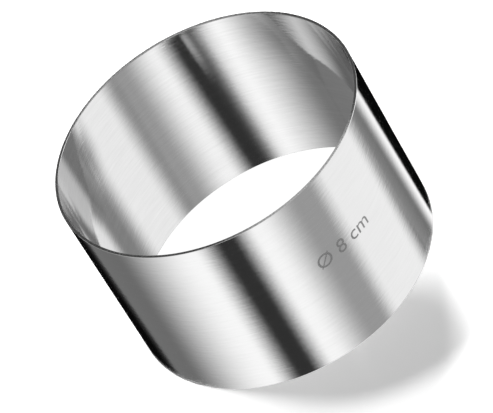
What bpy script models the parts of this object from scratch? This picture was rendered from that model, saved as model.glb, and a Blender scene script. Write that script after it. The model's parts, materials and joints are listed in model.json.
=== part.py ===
"""A plain round baking ring, open at both ends.

One strip of stainless steel is rolled into a hoop, and a butt weld closes it. The cut rims are
deburred, and the weld is ground flush outside and left slightly proud inside, where its root is.

Metres, +Z up. The origin is the centre of the bottom rim. The front of the ring faces -Y, and
the seam is on its left.
"""

import math

import bmesh
import bpy
from mathutils import Matrix, Vector

# Sizes that set the ring
OUTER_DIAMETER = 0.080
HEIGHT = 0.050
WALL = 0.0008

# The deburred corners of the cut rims
RIM_ROUND = 0.00015
RIM_ROUND_STEPS = 2

# The weld that closes the strip
SEAM_DIRECTION = math.radians(192.0)
WELD_WIDTH = 0.0012
WELD_ROOT_CROWN = 0.0001

# How finely the turned shapes are cut
BAND_STEPS = 192
WELD_STEPS = 6

# Colour, roughness and metallic value of the two finishes
BRUSHED_STEEL = ((0.62, 0.62, 0.63, 1.0), 0.22, 1.0)
WELD_STEEL = ((0.50, 0.50, 0.51, 1.0), 0.38, 1.0)

OUTER_RADIUS = OUTER_DIAMETER / 2
INNER_RADIUS = OUTER_RADIUS - WALL
MID_RADIUS = (OUTER_RADIUS + INNER_RADIUS) / 2
RIM_CORNER = min(RIM_ROUND, 0.45 * WALL, 0.45 * HEIGHT)
WELD_ANGLE = WELD_WIDTH / MID_RADIUS


def clear_scene():
    for thing in list(bpy.data.objects):
        bpy.data.objects.remove(thing, do_unlink=True)


def finish(name, look):
    colour, roughness, metallic = look
    material = bpy.data.materials.new(name)
    material.use_nodes = True
    shader = material.node_tree.nodes["Principled BSDF"]
    shader.inputs["Base Color"].default_value = colour
    shader.inputs["Roughness"].default_value = roughness
    shader.inputs["Metallic"].default_value = metallic
    return material


def strip_section():
    """The strip's cross-section as points (radius, 0, height), with its four corners rounded."""
    corners = (
        (OUTER_RADIUS - RIM_CORNER, RIM_CORNER, -90.0),
        (OUTER_RADIUS - RIM_CORNER, HEIGHT - RIM_CORNER, 0.0),
        (INNER_RADIUS + RIM_CORNER, HEIGHT - RIM_CORNER, 90.0),
        (INNER_RADIUS + RIM_CORNER, RIM_CORNER, 180.0),
    )
    points = []
    for centre_radius, centre_height, start in corners:
        for step in range(RIM_ROUND_STEPS + 1):
            angle = math.radians(start + 90.0 * step / RIM_ROUND_STEPS)
            radius = centre_radius + RIM_CORNER * math.cos(angle)
            height = centre_height + RIM_CORNER * math.sin(angle)
            points.append(Vector((radius, 0.0, height)))
    return points


def revolve(name, sections, angles):
    """A solid through one section at each angle about Z, closed by a flat face at both ends."""
    mesh = bmesh.new()
    rings = []
    for section, angle in zip(sections, angles):
        turn = Matrix.Rotation(angle, 3, "Z")
        rings.append([mesh.verts.new(turn @ point) for point in section])
    count = len(rings[0])
    for here, there in zip(rings, rings[1:]):
        for side in range(count):
            following = (side + 1) % count
            mesh.faces.new((here[side], here[following], there[following], there[side]))
    mesh.faces.new(rings[0])
    mesh.faces.new(reversed(rings[-1]))
    bmesh.ops.recalc_face_normals(mesh, faces=mesh.faces)
    data = bpy.data.meshes.new(name)
    mesh.to_mesh(data)
    mesh.free()
    data.shade_smooth()
    data.set_sharp_from_angle(angle=math.radians(30.0))
    solid = bpy.data.objects.new(name, data)
    bpy.context.scene.collection.objects.link(solid)
    return solid


def spaced(start, stop, steps):
    return [start + (stop - start) * step / steps for step in range(steps + 1)]


def crowned(section, share):
    """The section with its inner wall moved towards the axis by a share of the weld's crown."""
    inward = Vector((WELD_ROOT_CROWN * share, 0.0, 0.0))
    return [point - inward if point.x < MID_RADIUS else point for point in section]


def build_ring_band(steel):
    """The rolled strip, from one side of the weld round to the other."""
    start = SEAM_DIRECTION + WELD_ANGLE / 2
    stop = SEAM_DIRECTION + 2 * math.pi - WELD_ANGLE / 2
    angles = spaced(start, stop, BAND_STEPS)
    band = revolve("ring_band", [strip_section()] * len(angles), angles)
    band.data.materials.append(steel)


def build_seam_weld(steel):
    """The weld metal between the strip's ends: flush outside, and a low crown at the root inside."""
    start = SEAM_DIRECTION - WELD_ANGLE / 2
    stop = SEAM_DIRECTION + WELD_ANGLE / 2
    angles = spaced(start, stop, WELD_STEPS)
    sections = []
    for step in range(WELD_STEPS + 1):
        across = 2.0 * step / WELD_STEPS - 1.0
        sections.append(crowned(strip_section(), 1.0 - across * across))
    weld = revolve("seam_weld", sections, angles)
    weld.data.materials.append(steel)


def main():
    clear_scene()
    build_ring_band(finish("brushed steel", BRUSHED_STEEL))
    build_seam_weld(finish("weld steel", WELD_STEEL))


main()
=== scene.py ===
"""Looks of a plain round baking ring: a rolled steel band, its welded seam and a laser-marked size.

The band and the weld stand exactly where the loaded frame has them. Everything is in metres, +Z
up, with the front of the ring towards -Y.
"""

import json
import math
from collections import namedtuple

import bmesh
import bpy
from bpy.props import (
    FloatProperty,
    FloatVectorProperty,
    IntProperty,
    PointerProperty,
    StringProperty,
)
from mathutils import Matrix, Vector


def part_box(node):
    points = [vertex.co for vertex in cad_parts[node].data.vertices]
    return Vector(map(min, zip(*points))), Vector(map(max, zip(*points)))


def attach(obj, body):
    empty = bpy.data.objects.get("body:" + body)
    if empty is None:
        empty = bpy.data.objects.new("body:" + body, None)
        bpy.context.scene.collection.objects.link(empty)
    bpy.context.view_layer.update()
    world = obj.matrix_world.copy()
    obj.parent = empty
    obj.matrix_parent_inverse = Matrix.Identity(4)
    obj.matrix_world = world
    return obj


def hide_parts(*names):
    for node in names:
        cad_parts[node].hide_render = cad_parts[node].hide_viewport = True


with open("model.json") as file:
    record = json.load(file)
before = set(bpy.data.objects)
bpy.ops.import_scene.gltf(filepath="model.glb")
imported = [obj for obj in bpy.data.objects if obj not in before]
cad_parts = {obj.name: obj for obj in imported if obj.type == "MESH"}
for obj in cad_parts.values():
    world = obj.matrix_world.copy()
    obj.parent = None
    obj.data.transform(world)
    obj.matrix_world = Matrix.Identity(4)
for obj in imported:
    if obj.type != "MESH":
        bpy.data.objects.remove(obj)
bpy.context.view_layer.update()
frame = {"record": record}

bl_info = {
    "name": "Baking ring",
    "version": (1, 0, 0),
    "blender": (4, 5, 0),
    "location": "3D View > Sidebar > Baking Ring",
    "description": "Builds a rolled and welded steel baking ring with its studio",
    "category": "Add Mesh",
}

MM = 0.001
ROOT = "root"
BAND_NODE = "ring_band"
WELD_NODE = "seam_weld"

BAND_LOW, BAND_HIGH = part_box(BAND_NODE)
WELD_LOW, WELD_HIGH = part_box(WELD_NODE)
RIM_MOUNT = next(m for m in frame["record"]["mounts"] if m["name"] == "bottom_rim")
MID_RADIUS = math.hypot(RIM_MOUNT["pos_m"][0], RIM_MOUNT["pos_m"][1])
OUTER_RADIUS = (BAND_HIGH.x - BAND_LOW.x) / 2
WELD_CENTRE = (WELD_LOW + WELD_HIGH) / 2


class RingSizes(bpy.types.PropertyGroup):
    """Sizes of the rolled band"""

    outer_radius: FloatProperty(
        name="Outer radius",
        description="Radius of the rims' outer edge",
        default=OUTER_RADIUS,
        unit="LENGTH",
    )
    height: FloatProperty(
        name="Height",
        description="From the bottom rim to the top one",
        default=BAND_HIGH.z,
        unit="LENGTH",
    )
    wall: FloatProperty(
        name="Wall",
        description="Thickness of the steel",
        default=2 * (OUTER_RADIUS - MID_RADIUS),
        unit="LENGTH",
    )
    rim_round: FloatProperty(
        name="Rim rounding",
        description="Radius of the deburred corners of each rim",
        default=0.10 * MM,
        unit="LENGTH",
    )
    flare_start: FloatProperty(
        name="Flare start",
        description="Height from which the sides of the inner face lean outwards",
        default=22.0 * MM,
        unit="LENGTH",
    )
    flare_angle: FloatProperty(
        name="Flare angle",
        description="How far the sides of the inner face seem to lean outwards",
        default=math.radians(4.5),
        subtype="ANGLE",
    )
    curl_start: FloatProperty(
        name="Curl start",
        description="Height from which the parts beside the back lean inwards",
        default=29.0 * MM,
        unit="LENGTH",
    )
    curl_angle: FloatProperty(
        name="Curl angle",
        description="How far the parts beside the back seem to lean inwards",
        default=math.radians(4.5),
        subtype="ANGLE",
    )
    lean_fade: FloatProperty(
        name="Lean fade",
        description="Over how much of the height either lean grows",
        default=14.0 * MM,
        unit="LENGTH",
    )
    steps: IntProperty(
        name="Steps",
        description="How many flats the band has on its way round",
        default=512,
    )


class SeamSizes(bpy.types.PropertyGroup):
    """Sizes of the weld that closes the band"""

    direction: FloatProperty(
        name="Direction",
        description="Where the seam is, as an angle about Z from +X",
        default=math.atan2(WELD_CENTRE.y, WELD_CENTRE.x),
        subtype="ANGLE",
    )
    width: FloatProperty(
        name="Width",
        description="Width of the weld metal along the wall",
        default=1.2 * MM,
        unit="LENGTH",
    )
    root_crown: FloatProperty(
        name="Root crown",
        description="How far the weld stands proud of the inner face",
        default=0.1 * MM,
        unit="LENGTH",
    )
    ripple_pitch: FloatProperty(
        name="Ripple pitch",
        description="Distance between the ripples of the weld's root",
        default=0.9 * MM,
        unit="LENGTH",
    )
    ripple_depth: FloatProperty(
        name="Ripple depth",
        description="How deep the ripples of the weld's root are",
        default=0.03 * MM,
        unit="LENGTH",
    )


class MarkSizes(bpy.types.PropertyGroup):
    """The laser-marked size on the front of the band"""

    text: StringProperty(
        name="Text",
        description="The size that is marked on the band",
        default="Ø 8 cm",
    )
    letter_height: FloatProperty(
        name="Letter height",
        description="Height of the capitals and figures",
        default=4.0 * MM,
        unit="LENGTH",
    )
    direction: FloatProperty(
        name="Direction",
        description="Where the middle of the mark is, from the front towards +X",
        default=math.radians(22.0),
        subtype="ANGLE",
    )
    middle_height: FloatProperty(
        name="Middle height",
        description="Height of the middle of the letters above the bottom rim",
        default=28.7 * MM,
        unit="LENGTH",
    )
    depth: FloatProperty(
        name="Depth",
        description="Thickness of the oxide layer, half of it below the surface",
        default=0.016 * MM,
        unit="LENGTH",
    )


class Finishes(bpy.types.PropertyGroup):
    """Colours and gloss of the steel"""

    steel: FloatVectorProperty(
        name="Steel",
        description="Colour of the brushed wall",
        default=(0.56, 0.56, 0.56),
        subtype="COLOR",
    )
    wall_roughness: FloatProperty(
        name="Wall roughness",
        description="Roughness of the brushed wall",
        default=0.07,
        subtype="FACTOR",
    )
    rim: FloatVectorProperty(
        name="Rim",
        description="Colour of the cut rims",
        default=(0.34, 0.34, 0.34),
        subtype="COLOR",
    )
    # This scales both the rims' random speckle and the sheen painted into their colour; the
    # brighter stretches are a painted highlight.
    rim_speckle_and_sheen: FloatProperty(
        name="Rim sheen",
        description="How much brighter the polished stretches of the rims are, and the rest darker",
        default=0.80,
        subtype="FACTOR",
    )
    rim_roughness: FloatProperty(
        name="Rim roughness",
        description="Roughness of the cut rims",
        default=0.30,
        subtype="FACTOR",
    )
    weld: FloatVectorProperty(
        name="Weld",
        description="Colour of the weld metal",
        default=(0.55, 0.54, 0.52),
        subtype="COLOR",
    )
    mark: FloatVectorProperty(
        name="Mark",
        description="Colour of the laser mark",
        default=(0.22, 0.22, 0.22),
        subtype="COLOR",
    )


class StudioSettings(bpy.types.PropertyGroup):
    """Camera, floor and lights"""

    camera_elevation: FloatProperty(
        name="Camera elevation",
        description="Angle of the camera above the horizon",
        default=math.radians(40.23),
        subtype="ANGLE",
    )
    camera_roll: FloatProperty(
        name="Camera roll",
        description="Turn of the picture about the line of sight",
        default=math.radians(31.26),
        subtype="ANGLE",
    )
    camera_distance: FloatProperty(
        name="Camera distance",
        description="From the centre of the bottom rim, along the line of sight",
        default=1011.9 * MM,
        unit="LENGTH",
    )
    ring_right: FloatProperty(
        name="Ring right",
        description="How far right of the picture's centre the bottom rim's centre lies",
        default=9.57 * MM,
        unit="LENGTH",
    )
    ring_down: FloatProperty(
        name="Ring down",
        description="How far below the picture's centre the bottom rim's centre lies",
        default=14.51 * MM,
        unit="LENGTH",
    )
    lens: FloatProperty(
        name="Lens",
        description="Focal length in millimetres",
        default=294.9,
    )
    lamp_strength: FloatProperty(
        name="Lamp strength",
        description="Strength of each of the two lamps on the floor",
        default=1.97,
    )
    lamp_size: FloatProperty(
        name="Lamp size",
        description="Angle that each lamp fills, which softens the shadow",
        default=math.radians(8.25),
        subtype="ANGLE",
    )
    pool_power: FloatProperty(
        name="Pool power",
        description="Power of the small lamp that lights the floor beside the ring",
        default=26.5,
    )
    floor_glow: FloatProperty(
        name="Floor glow",
        description="Brightness that the white floor keeps in the shadow",
        default=0.43,
    )


GROUPS = {
    "ring_sizes": RingSizes,
    "seam_sizes": SeamSizes,
    "mark_sizes": MarkSizes,
    "ring_finishes": Finishes,
    "ring_studio": StudioSettings,
}


# Modelling helpers


def deselect_all():
    """Leaves nothing selected, also none of the loaded nodes."""
    bpy.ops.object.select_all(action="DESELECT")


def only(piece):
    """Makes one object the only selected and active one."""
    deselect_all()
    piece.select_set(True)
    bpy.context.view_layer.objects.active = piece


def edit_all(piece):
    """Enters edit mode with the whole mesh selected."""
    only(piece)
    bpy.ops.object.mode_set(mode="EDIT")
    bpy.ops.mesh.select_all(action="SELECT")


def leave_edit():
    """Goes back to object mode."""
    bpy.ops.object.mode_set(mode="OBJECT")


def pick_points(piece, wanted):
    """In edit mode, selects just the points whose place passes a test."""
    bpy.ops.mesh.select_mode(type="VERT")
    bpy.ops.mesh.select_all(action="DESELECT")
    shape = bmesh.from_edit_mesh(piece.data)
    for point in shape.verts:
        point.select = wanted(point.co)
    shape.select_flush_mode()
    bmesh.update_edit_mesh(piece.data)


def settle(piece):
    """Applies the object's place, turn and scale to its mesh."""
    only(piece)
    bpy.ops.object.transform_apply(location=True, rotation=True, scale=True)


def smooth(piece, degrees=35.0):
    """Smooth shading that keeps the real corners sharp."""
    only(piece)
    bpy.ops.object.shade_smooth_by_angle(angle=math.radians(degrees))


def ride_root(piece, node=None):
    """Fixes a finished piece to the ring's body and hides the loaded node it stands in for."""
    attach(piece, ROOT)
    if node:
        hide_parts(node)


def strip_section(name, sizes, angle):
    """The strip's cross-section as a flat mesh at an angle about Z, with rounded corners and a
    loop beside each of them, so that the wall between them is shaded as flat.
    """
    outward = Vector((math.cos(angle), math.sin(angle), 0.0))
    mid_radius = sizes.outer_radius - sizes.wall / 2
    deselect_all()
    bpy.ops.mesh.primitive_plane_add(
        size=1.0,
        location=outward * mid_radius + Vector((0.0, 0.0, sizes.height / 2)),
        rotation=(math.pi / 2, 0.0, angle),
    )
    section = bpy.context.object
    section.name = name
    section.data.name = name
    section.scale = (sizes.wall, sizes.height, 1.0)
    settle(section)
    edit_all(section)
    bpy.ops.mesh.bevel(
        offset=sizes.rim_round,
        offset_type="OFFSET",
        segments=5,
        affect="VERTICES",
    )
    for height in (2 * sizes.rim_round, sizes.height - 2 * sizes.rim_round):
        bpy.ops.mesh.select_all(action="SELECT")
        bpy.ops.mesh.bisect(
            plane_co=(0.0, 0.0, height),
            plane_no=(0.0, 0.0, 1.0),
            threshold=0.001 * MM,
        )
    leave_edit()
    return section


def spin_section(section, angle, steps):
    """Turns the flat section counterclockwise about Z into a closed solid with outward faces."""
    edit_all(section)
    bpy.ops.mesh.spin(
        steps=steps,
        angle=-angle,
        center=(0.0, 0.0, 0.0),
        axis=(0.0, 0.0, 1.0),
    )
    bpy.ops.mesh.select_all(action="SELECT")
    bpy.ops.mesh.normals_make_consistent(inside=False)
    leave_edit()


# Material helpers


def new_material(name):
    """An empty node material with its Principled shader."""
    material = bpy.data.materials.new(name)
    material.use_nodes = True
    tree = material.node_tree
    return material, tree, tree.nodes["Principled BSDF"]


def math_node(tree, operation, first, second=None, third=None):
    """One Math node. Each value is a number or another node's output."""
    node = tree.nodes.new("ShaderNodeMath")
    node.operation = operation
    for socket, value in zip(node.inputs, (first, second, third)):
        if isinstance(value, bpy.types.NodeSocket):
            tree.links.new(value, socket)
        elif value is not None:
            socket.default_value = value
    return node.outputs[0]


def product(tree, first, *others):
    """Several values multiplied."""
    for other in others:
        first = math_node(tree, "MULTIPLY", first, other)
    return first


def range_node(tree, value, low, high, low_out=0.0, high_out=1.0):
    """Maps low..high smoothly to low_out..high_out, and holds the ends."""
    node = tree.nodes.new("ShaderNodeMapRange")
    node.interpolation_type = "SMOOTHSTEP"
    tree.links.new(value, node.inputs["Value"])
    node.inputs["From Min"].default_value = low
    node.inputs["From Max"].default_value = high
    node.inputs["To Min"].default_value = low_out
    node.inputs["To Max"].default_value = high_out
    return node.outputs["Result"]


def object_axes(tree):
    """The Object coordinates as a vector, and its three axes."""
    place = tree.nodes.new("ShaderNodeTexCoord").outputs["Object"]
    split = tree.nodes.new("ShaderNodeSeparateXYZ")
    tree.links.new(place, split.inputs[0])
    return place, split.outputs


def noise_node(tree, vector, stretch, detail=2.0, roughness=0.5):
    """One Noise texture, from 0 to 1, with so many features to the metre along each axis."""
    mapping = tree.nodes.new("ShaderNodeMapping")
    tree.links.new(vector, mapping.inputs["Vector"])
    mapping.inputs["Scale"].default_value = stretch
    node = tree.nodes.new("ShaderNodeTexNoise")
    tree.links.new(mapping.outputs["Vector"], node.inputs["Vector"])
    node.inputs["Scale"].default_value = 1.0
    node.inputs["Detail"].default_value = detail
    node.inputs["Roughness"].default_value = roughness
    return node.outputs["Fac"]


def colour_mix(tree, share, first, second):
    """A colour between two, by a share from 0 to 1."""
    node = tree.nodes.new("ShaderNodeMix")
    node.data_type = "RGBA"
    tree.links.new(share, node.inputs["Factor"])
    node.inputs["A"].default_value = (*first, 1.0)
    node.inputs["B"].default_value = (*second, 1.0)
    return node.outputs["Result"]


def bump_node(tree, height, distance, normal=None):
    """A Bump node of a real depth in metres."""
    node = tree.nodes.new("ShaderNodeBump")
    node.inputs["Strength"].default_value = 1.0
    node.inputs["Distance"].default_value = distance
    tree.links.new(height, node.inputs["Height"])
    if normal is not None:
        tree.links.new(normal, node.inputs["Normal"])
    return node.outputs["Normal"]


def scaled(colour, factor):
    """A colour that is brighter or darker by a factor."""
    return tuple(channel * factor for channel in colour)


def varied_colour(tree, share, colour, factors):
    """A colour that varies between two factors of itself."""
    darker, brighter = factors
    return colour_mix(tree, share, scaled(colour, darker), scaled(colour, brighter))


def varied_roughness(tree, noise, span, roughness, factors):
    """A roughness that varies between two factors of itself over a span of the noise."""
    first, second = factors
    return range_node(tree, noise, *span, roughness * first, roughness * second)


def make_metal(tree, shader, tint, roughness, normal=None):
    """Gives the shader of a bare metal its colour, roughness and bump. The roughness may be a
    plain number.
    """
    shader.inputs["Metallic"].default_value = 1.0
    tree.links.new(tint, shader.inputs["Base Color"])
    if isinstance(roughness, bpy.types.NodeSocket):
        tree.links.new(roughness, shader.inputs["Roughness"])
    else:
        shader.inputs["Roughness"].default_value = roughness
    if normal is not None:
        tree.links.new(normal, shader.inputs["Normal"])


# The finishes

# How fine each noise is, in features to the metre along X, Y and Z, how deep it is as a bump, and
# over which span of it and by which factors it changes the colour and the roughness.
WAVE_GRAIN = (30.0, 30.0, 22.0)
WAVE_DEPTH = 0.02 * MM
HAIRLINE_GRAIN = (300.0, 300.0, 1500.0)
HAIRLINE_DEPTH = 0.018 * MM
STREAK_GRAIN = (110.0, 110.0, 1500.0)
STREAK_TINTS = (0.95, 1.05)
STREAK_SPAN = (0.35, 0.75)
STREAK_ROUGHNESS = (0.9, 1.3)
SPECKLE_GRAIN = (1900.0, 1900.0, 1900.0)
SPECKLE_DEPTH = 0.02 * MM
SPECKLE_TINT_SPAN = (0.38, 0.66)
SPECKLE_TINT_SHARES = (-0.22, 0.22)
SPECKLE_SPAN = (0.3, 0.7)
SPECKLE_ROUGHNESS = (1.25, 0.8)
GRINDING_GRAIN = (6000.0, 6000.0, 160.0)
GRINDING_DEPTH = 0.0004 * MM
GRINDING_TINTS = (0.9, 1.1)
GRINDING_SPAN = (0.3, 0.7)
OXIDE_GRAIN = (2500.0, 2500.0, 7000.0)
OXIDE_TINTS = (0.8, 1.25)
OXIDE_ROUGHNESS = 0.42
# The middle of every noise's range.
NOISE_MIDDLE = 0.5
# By what share the streaks are stronger inside the ring than outside, and the hairlines shallower.
INNER_STREAKS = 0.8
INNER_HAIRLINES = -0.32
# The weld's roughness outside, and how much rougher its root is inside.
GROUND_ROUGHNESS = (0.07, 0.11)
ROOT_ROUGHNESS = 0.27
# How far from the middle of the wall's thickness the inner finish is complete.
FACE_FADE = 0.1 * MM
# Where the inner face starts and stops to lean outwards or inwards, as shares of the radius. All
# lie along Y, but FLARE_TURN lies along X: past it the outward lean has only RIGHT_FLARE left.
FLARE_FRONT = (0.05, 0.45)
FLARE_BACK = (0.54, 0.63)
FLARE_TURN = (-0.2, 0.2)
RIGHT_FLARE = 0.6
CURL_FRONT = (0.60, 0.70)
CURL_BACK = (0.80, 0.92)


def inner_share(tree, axes, sizes):
    """1 on the inner face of the wall and 0 on the outer one."""
    mid_radius = sizes.outer_radius - sizes.wall / 2
    across = math_node(tree, "POWER", axes["X"], 2.0)
    along = math_node(tree, "POWER", axes["Y"], 2.0)
    far_out = math_node(tree, "ADD", across, along)
    return range_node(tree, far_out, (mid_radius - FACE_FADE) ** 2, mid_radius**2, 1.0, 0.0)


def lean_up_the_wall(tree, axes, start, fade, angle):
    """How far the wall leans at each height, as a slope that grows from 0."""
    return range_node(tree, axes["Z"], start, start + fade, 0.0, math.tan(angle))


def share_across(tree, axis, stretch, radius, low_out=0.0, high_out=1.0):
    """A share that changes over a stretch along X or Y, which is given in radii."""
    start, stop = stretch
    return range_node(tree, axis, start * radius, stop * radius, low_out, high_out)


def leaning_normal(tree, axes, sizes):
    """The wall's normal. Inside, the sides lean slightly outwards above the middle, and the parts
    beside the back slightly inwards at the rim, as rolled sheet does.
    """
    radius = sizes.outer_radius
    flare = product(
        tree,
        share_across(tree, axes["Y"], FLARE_BACK, radius, 1.0, 0.0),
        share_across(tree, axes["Y"], FLARE_FRONT, radius),
        lean_up_the_wall(tree, axes, sizes.flare_start, sizes.lean_fade, sizes.flare_angle),
        share_across(tree, axes["X"], FLARE_TURN, radius, 1.0, RIGHT_FLARE),
    )
    curl = product(
        tree,
        share_across(tree, axes["Y"], CURL_FRONT, radius),
        share_across(tree, axes["Y"], CURL_BACK, radius, 1.0, 0.0),
        lean_up_the_wall(tree, axes, sizes.curl_start, sizes.lean_fade, -sizes.curl_angle),
    )
    lean = math_node(tree, "ADD", flare, curl)
    lean = product(tree, lean, inner_share(tree, axes, sizes))
    upward = tree.nodes.new("ShaderNodeCombineXYZ")
    tree.links.new(lean, upward.inputs["Z"])
    added = tree.nodes.new("ShaderNodeVectorMath")
    added.operation = "ADD"
    tree.links.new(tree.nodes.new("ShaderNodeNewGeometry").outputs["Normal"], added.inputs[0])
    tree.links.new(upward.outputs[0], added.inputs[1])
    level = tree.nodes.new("ShaderNodeVectorMath")
    level.operation = "NORMALIZE"
    tree.links.new(added.outputs[0], level.inputs[0])
    return level.outputs[0]


def brushed_wall_material(looks, sizes):
    """Bright steel with fine hairlines that run round the ring."""
    material, tree, shader = new_material("brushed steel")
    place, axes = object_axes(tree)
    hairline = noise_node(tree, place, HAIRLINE_GRAIN, detail=3.0, roughness=0.6)
    streak = noise_node(tree, place, STREAK_GRAIN, detail=3.0, roughness=0.6)
    wave = noise_node(tree, place, WAVE_GRAIN, detail=1.0)
    inside = inner_share(tree, axes, sizes)
    contrast = math_node(tree, "MULTIPLY_ADD", inside, INNER_STREAKS, 1.0)
    share = math_node(tree, "SUBTRACT", streak, NOISE_MIDDLE)
    share = math_node(tree, "MULTIPLY_ADD", share, contrast, NOISE_MIDDLE)
    tint = varied_colour(tree, share, looks.steel, STREAK_TINTS)
    plain = looks.wall_roughness
    roughness = varied_roughness(tree, streak, STREAK_SPAN, plain, STREAK_ROUGHNESS)
    depth = math_node(tree, "MULTIPLY_ADD", inside, INNER_HAIRLINES, 1.0)
    brushed = product(tree, hairline, depth)
    bent = bump_node(tree, wave, WAVE_DEPTH, leaning_normal(tree, axes, sizes))
    normal = bump_node(tree, brushed, HAIRLINE_DEPTH, bent)
    make_metal(tree, shader, tint, roughness, normal)
    return material


# Where a sheen is painted into the rims' colour as a highlight: the middle of each stretch, from
# the front towards +X, half its length and how far it fades out, all in degrees, and how bright it
# is.
PAINTED_SHEEN_STRETCHES = ((22.0, 16.0, 24.0, 0.80), (180.0, 24.0, 36.0, 0.46))


def cut_rim_material(looks, sizes):
    """The cut and tumbled edge of the sheet: rougher and speckled, with a sheen painted into its
    colour as a highlight along two stretches.
    """
    material, tree, shader = new_material("cut rim")
    place, axes = object_axes(tree)
    speckle = noise_node(tree, place, SPECKLE_GRAIN, detail=3.0, roughness=0.7)
    share = range_node(tree, speckle, *SPECKLE_TINT_SPAN, *SPECKLE_TINT_SHARES)
    # Each stretch adds a painted highlight to the share, by where it lies round the ring.
    for middle, half, fade, painted_sheen in PAINTED_SHEEN_STRETCHES:
        right = math.sin(math.radians(middle)) / sizes.outer_radius
        back = -math.cos(math.radians(middle)) / sizes.outer_radius
        along = product(tree, axes["X"], right)
        along = math_node(tree, "MULTIPLY_ADD", axes["Y"], back, along)
        end = math.cos(math.radians(half + fade))
        start = math.cos(math.radians(half))
        share = math_node(tree, "ADD", share, range_node(tree, along, end, start, 0.0, painted_sheen))
    # The speckle's tone and the painted sheen brighten or darken the rims' colour by these factors.
    factors = (1.0 - looks.rim_speckle_and_sheen, 1.0 + looks.rim_speckle_and_sheen)
    tint = varied_colour(tree, share, looks.rim, factors)
    plain = looks.rim_roughness
    roughness = varied_roughness(tree, speckle, SPECKLE_SPAN, plain, SPECKLE_ROUGHNESS)
    normal = bump_node(tree, speckle, SPECKLE_DEPTH)
    make_metal(tree, shader, tint, roughness, normal)
    return material


def weld_material(looks, seam, sizes):
    """Weld metal: ground along the seam outside, and with the ripples it froze in inside."""
    material, tree, shader = new_material("weld metal")
    place, axes = object_axes(tree)
    ground = noise_node(tree, place, GRINDING_GRAIN)
    tint = varied_colour(tree, ground, looks.weld, GRINDING_TINTS)
    inside = inner_share(tree, axes, sizes)
    roughness = range_node(tree, ground, *GRINDING_SPAN, *GROUND_ROUGHNESS)
    roughness = math_node(tree, "MULTIPLY_ADD", inside, ROOT_ROUGHNESS, roughness)
    turn = math_node(tree, "ARCTANGENT", math_node(tree, "DIVIDE", axes["Y"], axes["X"]))
    beside = math_node(tree, "SUBTRACT", turn, seam.direction % math.pi)
    across = product(tree, beside, (2 * sizes.outer_radius - sizes.wall) / seam.width)
    bow = product(tree, across, across, math.pi)
    turns = product(tree, axes["Z"], 2 * math.pi / seam.ripple_pitch)
    ripple = math_node(tree, "SINE", math_node(tree, "ADD", turns, bow))
    ripples = bump_node(tree, product(tree, ripple, inside), seam.ripple_depth / 2)
    normal = bump_node(tree, ground, GRINDING_DEPTH, ripples)
    make_metal(tree, shader, tint, roughness, normal)
    return material


def mark_material(looks):
    """The dark, dull oxide that a marking laser leaves."""
    material, tree, shader = new_material("laser mark")
    place, _ = object_axes(tree)
    grain = noise_node(tree, place, OXIDE_GRAIN)
    tint = varied_colour(tree, grain, looks.mark, OXIDE_TINTS)
    make_metal(tree, shader, tint, OXIDE_ROUGHNESS)
    return material


# The pieces

# How far a face looks up or down, as its normal's Z, to take the cut rims' finish. The band's
# rounded corners keep nearly all of the wall's finish, and the weld's take the rims'.
BAND_RIM_RISE = 0.9
WELD_RIM_RISE = 0.2


def dress_rims(piece, least_rise):
    """Gives the faces of the two cut rims the second material."""
    for face in piece.data.polygons:
        face.material_index = 1 if abs(face.normal.z) > least_rise else 0


class RING_OT_add_band(bpy.types.Operator):
    """Add the rolled steel band with its deburred rims"""

    bl_idname = "baking_ring.add_band"
    bl_label = "Rolled band"

    def execute(self, context):
        sizes = context.scene.ring_sizes
        seam = context.scene.seam_sizes
        looks = context.scene.ring_finishes
        gap = seam.width / (sizes.outer_radius - sizes.wall / 2)
        band = strip_section("rolled_band", sizes, seam.direction + gap / 2)
        spin_section(band, 2 * math.pi - gap, sizes.steps)
        band.data.materials.append(brushed_wall_material(looks, sizes))
        band.data.materials.append(cut_rim_material(looks, sizes))
        dress_rims(band, BAND_RIM_RISE)
        smooth(band)
        ride_root(band, BAND_NODE)
        return {"FINISHED"}


class RING_OT_add_weld(bpy.types.Operator):
    """Add the weld metal between the ends of the band"""

    bl_idname = "baking_ring.add_weld"
    bl_label = "Seam weld"

    columns = 12

    def execute(self, context):
        sizes = context.scene.ring_sizes
        seam = context.scene.seam_sizes
        looks = context.scene.ring_finishes
        mid_radius = sizes.outer_radius - sizes.wall / 2
        gap = seam.width / mid_radius
        weld = strip_section("welded_seam", sizes, seam.direction - gap / 2)
        spin_section(weld, gap, self.columns)
        self.crown(weld, seam, mid_radius, gap)
        weld.data.materials.append(weld_material(looks, seam, sizes))
        weld.data.materials.append(bpy.data.materials["cut rim"])
        dress_rims(weld, WELD_RIM_RISE)
        smooth(weld)
        ride_root(weld, WELD_NODE)
        return {"FINISHED"}

    def crown(self, weld, seam, mid_radius, gap):
        """Raises the weld's root inside the ring, column by column."""
        edit_all(weld)
        for number in range(1, self.columns):
            across = 2 * number / self.columns - 1
            turn = seam.direction + across * gap / 2
            along = Vector((math.cos(turn), math.sin(turn), 0.0))
            beside = Vector((-math.sin(turn), math.cos(turn), 0.0))
            half_step = mid_radius * gap / self.columns / 2
            pick_points(
                weld,
                lambda co: abs(co.dot(beside)) < half_step and 0 < co.dot(along) < mid_radius,
            )
            shrink = 1 - seam.root_crown * (1 - across * across) / mid_radius
            bpy.ops.transform.resize(value=(shrink, shrink, 1.0), center_override=(0.0, 0.0, 0.0))
        leave_edit()


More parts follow.
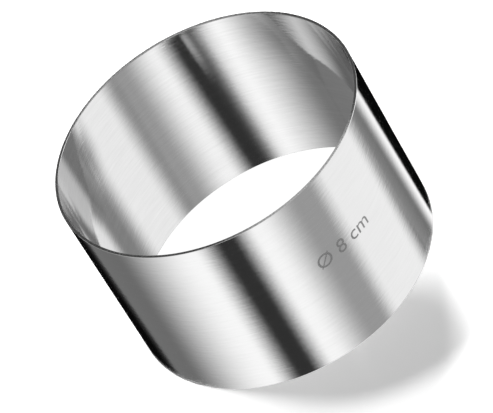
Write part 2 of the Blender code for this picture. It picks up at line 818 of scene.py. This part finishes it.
class RING_OT_add_mark(bpy.types.Operator):
    """Add the laser-marked size on the front of the band"""

    bl_idname = "baking_ring.add_mark"
    bl_label = "Size mark"

    def execute(self, context):
        sizes = context.scene.ring_sizes
        mark_sizes = context.scene.mark_sizes
        looks = context.scene.ring_finishes
        deselect_all()
        bpy.ops.object.text_add()
        mark = bpy.context.object
        mark.name = "size_mark"
        mark.data.body = mark_sizes.text
        mark.data.align_x = "CENTER"
        mark.data.resolution_u = 6
        bpy.ops.object.convert(target="MESH")
        mark = bpy.context.object
        mark.data.name = "size_mark"
        self.size_flat(mark, mark_sizes)
        self.slice_flat(mark)
        self.thicken(mark, mark_sizes)
        self.wrap(mark, sizes.outer_radius, mark_sizes)
        mark.data.materials.append(mark_material(looks))
        ride_root(mark)
        return {"FINISHED"}

    def size_flat(self, mark, mark_sizes):
        """Scales the flat letters to their height and stands them up, facing the front."""
        figure_height = max(point.co.y for point in mark.data.vertices)
        scale = mark_sizes.letter_height / figure_height
        mark.scale = (scale, scale, scale)
        mark.rotation_euler = (math.pi / 2, 0.0, 0.0)
        mark.location = (0.0, 0.0, -mark_sizes.letter_height / 2)
        settle(mark)

    def slice_flat(self, mark):
        """Cuts the letters into narrow upright strips, so that they can follow the wall."""
        strip = 0.4 * MM
        reach = max(abs(point.co.x) for point in mark.data.vertices)
        count = int(reach / strip)
        edit_all(mark)
        for number in range(-count, count + 1):
            bpy.ops.mesh.select_all(action="SELECT")
            bpy.ops.mesh.bisect(plane_co=(number * strip, 0.0, 0.0), plane_no=(1.0, 0.0, 0.0))
        leave_edit()

    def thicken(self, mark, mark_sizes):
        """Gives the letters the thickness of the oxide layer, on both sides of the wall's face."""
        only(mark)
        bpy.ops.object.modifier_add(type="SOLIDIFY")
        mark.modifiers[-1].thickness = mark_sizes.depth
        mark.modifiers[-1].offset = 0.0
        bpy.ops.object.modifier_apply(modifier=mark.modifiers[-1].name)

    def wrap(self, mark, radius, mark_sizes):
        """Bends the letters round the wall and turns them to their place."""
        xs = [point.co.x for point in mark.data.vertices]
        only(mark)
        bpy.ops.object.modifier_add(type="SIMPLE_DEFORM")
        bend = mark.modifiers[-1]
        bend.deform_method = "BEND"
        bend.deform_axis = "Z"
        bend.angle = (max(xs) - min(xs)) / radius
        bpy.ops.object.modifier_apply(modifier=bend.name)
        mark.location = (0.0, -radius, mark_sizes.middle_height)
        settle(mark)
        mark.rotation_euler = (0.0, 0.0, mark_sizes.direction)
        settle(mark)


# The studio

# The lights are painted on two tubes. The wide one stands round the ring, and the narrow one lies
# below it, where only the inner face of the band mirrors it. Each light is a softbox, card or
# flag: where it starts and stops, in degrees from the front towards +X, how far each of those
# edges fades, and its grey level. It may lean, by so many degrees to the metre of height, and
# may fade out between two heights. A later light covers an earlier one.
Light = namedtuple("Light", "start fade_in stop fade_out grey lean fade", defaults=(0.0, None))
WIDE_RADIUS = 0.40
WIDE_HEIGHTS = (-1.2, 1.2)
WIDE_MIDDLE = -0.305
LIGHTS_ROUND_THE_RING = {
    "left_flag": Light(-54.5, 4.0, -2.6, 3.5, 0.050),
    "front_card": Light(-5.6, 4.2, 50.4, 0.9, 0.54),
    "right_card": Light(99.4, 3.9, 122.0, 24.9, 0.42, 60.0),
    "left_softbox": Light(-111.5, 61.2, -29.0, 20.2, 1.653),
    "front_softbox": Light(-21.35, 16.5, 29.0, 31.3, 1.63),
    "right_softbox": Light(39.1, 14.95, 105.4, 17.4, 1.466, -20.0),
    "side_strip": Light(115.0, 16.0, 138.0, 2.0, 1.45, 110.0),
    "back_flag_right": Light(131.8, 4.4, 171.0, 4.0, 0.003, 110.0),
    "left_edge": Light(-171.0, 4.0, -131.6, 3.95, 0.040, 120.0),
    "back_flag_left": Light(-171.0, 4.0, -135.5, 9.0, 0.003, 120.0),
    "back_softbox_right": Light(168.0, 6.0, 200.0, 1.0, 1.3),
    "back_softbox_left": Light(-200.0, 1.0, -168.0, 6.0, 1.3),
    "ceiling": Light(-200.0, 1.0, 200.0, 1.0, 0.70, 0.0, (0.05, 0.13)),
    "corner_strip": Light(94.0, 6.0, 126.0, 6.0, 3.2, 0.0, (0.06, 0.12)),
}
SURROUND = 0.240
NARROW_RADIUS = 0.06
NARROW_HEIGHTS = (-0.095, -0.0205)
NARROW_MIDDLE = -0.0535
# Where the narrow tube's top is cut off, as a height at the axis and a slope towards the back, so
# that the outer face never sees the tube. Its back, from NARROW_BACK on, needs no cut.
NARROW_CUTS = ((-0.0245, 0.0), (-0.0275, -0.19))
NARROW_BACK = 0.0445
LIGHTS_BELOW_THE_RING = {
    "left_flag": Light(-49.0, 6.9, -5.1, 8.3, 0.048),
    "front_card": Light(-11.4, 4.7, 56.9, 14.9, 0.533),
    "right_card": Light(121.0, 1.0, 181.0, 4.0, 0.368),
    "left_softbox": Light(-131.0, 80.0, -24.6, 43.6, 1.78),
    "side_flag": Light(-54.6, 24.0, -26.0, 3.0, 0.055, -90.0, (-0.012, -0.040)),
    "left_stripe": Light(-42.0, 7.0, -30.0, 2.0, 0.64, -196.0, (-0.046, -0.028)),
    "front_softbox": Light(-27.0, 3.0, 38.4, 36.6, 1.554),
    "front_flag": Light(-31.6, 2.5, 0.7, 23.4, 0.048, -100.0),
    "right_softbox": Light(45.9, 26.7, 128.7, 27.5, 1.428),
    "side_strip": Light(141.7, 18.1, 181.0, 1.6, 1.231),
}
SURROUND_BELOW = 0.291

# The floor's sheet, a hair below the ring, and how bright the disc inside the ring is.
FLOOR_SIZE = 12.0
FLOOR_DROP = 0.02 * MM
FLOOR_PAPER = (0.9, 0.9, 0.9)
DISC_GLOW = 1.05


def stage_piece(name):
    """Names the newest object, a piece of the studio and not of the ring."""
    piece = bpy.context.object
    piece.name = name
    return piece


def glow_material(name, paper_colour=None):
    """A material that glows evenly. Paper with a colour also takes light and shadow."""
    material = bpy.data.materials.new(name)
    material.use_nodes = True
    tree = material.node_tree
    tree.nodes.clear()
    glow = tree.nodes.new("ShaderNodeEmission")
    surface = glow.outputs[0]
    if paper_colour:
        paper = tree.nodes.new("ShaderNodeBsdfDiffuse")
        paper.inputs["Color"].default_value = (*paper_colour, 1.0)
        both = tree.nodes.new("ShaderNodeAddShader")
        tree.links.new(paper.outputs[0], both.inputs[0])
        tree.links.new(surface, both.inputs[1])
        surface = both.outputs[0]
    output = tree.nodes.new("ShaderNodeOutputMaterial")
    tree.links.new(surface, output.inputs["Surface"])
    return material, tree, glow.inputs["Strength"]


def floor_material(studio):
    """White paper that keeps the shadow: part of its white is its own, and the rest is lit."""
    material, tree, strength = glow_material("white floor", FLOOR_PAPER)
    seen = tree.nodes.new("ShaderNodeLightPath").outputs["Is Camera Ray"]
    tree.links.new(product(tree, seen, studio.floor_glow), strength)
    return material


def tube_material(name, surround, middle, lights):
    """A tube's paper: a grey surround with each softbox, card and flag painted over it."""
    material, tree, strength = glow_material(name)
    material.cycles.emission_sampling = "NONE"
    _, axes = object_axes(tree)
    turn = math_node(tree, "ARCTAN2", axes["X"], product(tree, axes["Y"], -1.0))
    degrees = math_node(tree, "DEGREES", turn)
    height = math_node(tree, "SUBTRACT", axes["Z"], middle)
    level = surround
    for light in lights.values():
        leaning = math_node(tree, "MULTIPLY_ADD", height, light.lean, degrees)
        rising = range_node(tree, leaning, light.start, light.start + light.fade_in)
        falling = range_node(tree, leaning, light.stop - light.fade_out, light.stop, 1.0, 0.0)
        share = product(tree, rising, falling)
        if light.fade:
            share = product(tree, share, range_node(tree, axes["Z"], *light.fade))
        change = math_node(tree, "SUBTRACT", light.grey, level)
        level = math_node(tree, "MULTIPLY_ADD", share, change, level)
    tree.links.new(level, strength)
    return material


def add_floor(studio, sizes):
    """The floor, and an evenly white disc that shows through the open ring."""
    bpy.ops.mesh.primitive_plane_add(size=FLOOR_SIZE, location=(0.0, 0.0, -FLOOR_DROP))
    floor = stage_piece("floor")
    floor.data.materials.append(floor_material(studio))
    bpy.ops.mesh.primitive_circle_add(
        vertices=128,
        radius=sizes.outer_radius - sizes.wall,
        fill_type="NGON",
        location=(0.0, 0.0, 0.0),
    )
    disc = stage_piece("paper_disc")
    paper, _, strength = glow_material("glowing paper")
    strength.default_value = DISC_GLOW
    disc.data.materials.append(paper)
    disc.visible_shadow = False
    for sheet in (floor, disc):
        sheet.visible_glossy = False


def add_tube(name, radius, heights):
    """One tube of softboxes, cards and flags, which only the steel sees."""
    low, high = heights
    bpy.ops.mesh.primitive_cylinder_add(
        vertices=360,
        radius=radius,
        depth=high - low,
        end_fill_type="NOTHING",
        location=(0.0, 0.0, (low + high) / 2),
    )
    tube = stage_piece(name)
    settle(tube)
    tube.visible_camera = False
    tube.visible_diffuse = False
    tube.visible_shadow = False
    tube.visible_transmission = False
    return tube


def add_tubes():
    """The wide tube of lights and the narrow one."""
    wide = add_tube("wide_tube", WIDE_RADIUS, WIDE_HEIGHTS)
    paint = tube_material("lights round the ring", SURROUND, WIDE_MIDDLE, LIGHTS_ROUND_THE_RING)
    wide.data.materials.append(paint)
    narrow = add_tube("narrow_tube", NARROW_RADIUS, NARROW_HEIGHTS)
    lights = LIGHTS_BELOW_THE_RING
    paint = tube_material("lights below the ring", SURROUND_BELOW, NARROW_MIDDLE, lights)
    narrow.data.materials.append(paint)
    edit_all(narrow)
    for height, slope in NARROW_CUTS:
        pick_points(narrow, lambda co: co.y < NARROW_BACK)
        bpy.ops.mesh.bisect(
            plane_co=(0.0, 0.0, height),
            plane_no=(0.0, -slope, 1.0),
            clear_outer=True,
        )
    leave_edit()


# How far each lamp throws the top rim's shadow, towards +X and +Y.
LAMP_THROWS = {
    "back_lamp": (-10.4 * MM, -42.0 * MM),
    "side_lamp": (17.3 * MM, -22.2 * MM),
}
# Where the small lamp overhead lights the floor, how wide its pool of light is, how soft its edge
# is and how wide the lamp is. Half-way down hangs an oval flag that rounds off the pool's near
# side: its middle and its half widths, as its shadow falls on the floor.
POOL_CENTRE = (54.0 * MM, -42.0 * MM)
POOL_RADIUS = 46.0 * MM
POOL_SOFTNESS = 0.3
POOL_LAMP_HEIGHT = 1.0
POOL_LAMP_RADIUS = 8.7 * MM
FLAG_CENTRE = (15.9 * MM, -52.0 * MM)
FLAG_REACH = (19.2 * MM, 27.5 * MM)


def add_lamps(studio, sizes):
    """Two lamps high behind the ring. The floor greys where neither of them reaches."""
    for name, (right, back) in LAMP_THROWS.items():
        towards = Vector((-right, -back, sizes.height)).normalized()
        bpy.ops.object.light_add(
            type="SUN",
            location=towards,
            rotation=towards.to_track_quat("Z", "Y").to_euler(),
        )
        lamp = stage_piece(name)
        lamp.data.angle = studio.lamp_size
        lamp.data.energy = studio.lamp_strength
        lamp.visible_glossy = False


def add_pool(studio):
    """The small lamp that lights the floor beside the shadow, and its flag."""
    bpy.ops.object.light_add(type="SPOT", location=(*POOL_CENTRE, POOL_LAMP_HEIGHT))
    pool = stage_piece("pool_lamp")
    pool.data.spot_size = 2 * math.atan(POOL_RADIUS / POOL_LAMP_HEIGHT)
    pool.data.spot_blend = POOL_SOFTNESS
    pool.data.shadow_soft_size = POOL_LAMP_RADIUS
    pool.data.energy = studio.pool_power
    pool.visible_glossy = False
    # Half-way down, the flag is half as wide as its shadow.
    middle = [(lamp + flag) / 2 for lamp, flag in zip(POOL_CENTRE, FLAG_CENTRE)]
    bpy.ops.mesh.primitive_circle_add(
        vertices=96,
        radius=0.5,
        fill_type="NGON",
        location=(*middle, POOL_LAMP_HEIGHT / 2),
    )
    flag = stage_piece("pool_flag")
    flag.scale = (*FLAG_REACH, 1.0)
    settle(flag)
    flag.data.materials.append(glow_material("black flag")[0])
    flag.visible_camera = False
    flag.visible_diffuse = False
    flag.visible_glossy = False
    flag.visible_transmission = False


# How bright the backdrop is as a light on the floor.
FILL_STRENGTH = 0.06


def add_world():
    """A white backdrop for the camera and in reflections, and a plain soft fill for the rest."""
    world = bpy.data.worlds.new("studio")
    bpy.context.scene.world = world
    world.use_nodes = True
    tree = world.node_tree
    light = tree.nodes["Background"]
    path = tree.nodes.new("ShaderNodeLightPath").outputs
    seen = math_node(tree, "MAXIMUM", path["Is Camera Ray"], path["Is Glossy Ray"])
    seen = math_node(tree, "MAXIMUM", seen, path["Is Transmission Ray"])
    strength = range_node(tree, seen, 0.0, 1.0, FILL_STRENGTH, 1.0)
    tree.links.new(strength, light.inputs["Strength"])
    light.inputs["Color"].default_value = (1.0, 1.0, 1.0, 1.0)


def add_camera(studio):
    """The camera at the photograph's angle, rolled as it was."""
    level = Matrix.Rotation(math.pi / 2 - studio.camera_elevation, 3, "X")
    turned = level @ Matrix.Rotation(-studio.camera_roll, 3, "Z")
    offset = Vector((-studio.ring_right, studio.ring_down, studio.camera_distance))
    bpy.ops.object.camera_add(location=turned @ offset, rotation=turned.to_euler())
    camera = stage_piece("camera")
    camera.data.lens = studio.lens
    camera.data.clip_start = 0.05
    camera.data.clip_end = 50.0
    bpy.context.scene.camera = camera


class RING_OT_add_stage(bpy.types.Operator):
    """Add the floor, the lights and the camera"""

    bl_idname = "baking_ring.add_stage"
    bl_label = "Studio"

    def execute(self, context):
        studio = context.scene.ring_studio
        sizes = context.scene.ring_sizes
        deselect_all()
        add_floor(studio, sizes)
        add_tubes()
        add_lamps(studio, sizes)
        add_pool(studio)
        add_world()
        add_camera(studio)
        context.scene.view_settings.view_transform = "Standard"
        return {"FINISHED"}


class RING_PT_panel(bpy.types.Panel):
    """Lists the ring's sizes and the steps that build it"""

    bl_label = "Baking Ring"
    bl_idname = "RING_PT_panel"
    bl_space_type = "VIEW_3D"
    bl_region_type = "UI"
    bl_category = "Baking Ring"

    def draw(self, context):
        for name, group in GROUPS.items():
            box = self.layout.box()
            box.label(text=group.__doc__)
            values = getattr(context.scene, name)
            for key in group.__annotations__:
                box.prop(values, key)
        for step in STEPS:
            self.layout.operator(step.bl_idname)


STEPS = (RING_OT_add_band, RING_OT_add_weld, RING_OT_add_mark, RING_OT_add_stage)
CLASSES = (*GROUPS.values(), *STEPS, RING_PT_panel)


def register():
    for item in CLASSES:
        bpy.utils.register_class(item)
    for name, group in GROUPS.items():
        setattr(bpy.types.Scene, name, PointerProperty(type=group))


def unregister():
    for name in GROUPS:
        delattr(bpy.types.Scene, name)
    for item in reversed(CLASSES):
        bpy.utils.unregister_class(item)


def main():
    register()
    bpy.ops.baking_ring.add_band()
    bpy.ops.baking_ring.add_weld()
    bpy.ops.baking_ring.add_mark()
    bpy.ops.baking_ring.add_stage()


if __name__ == "__main__":
    main()
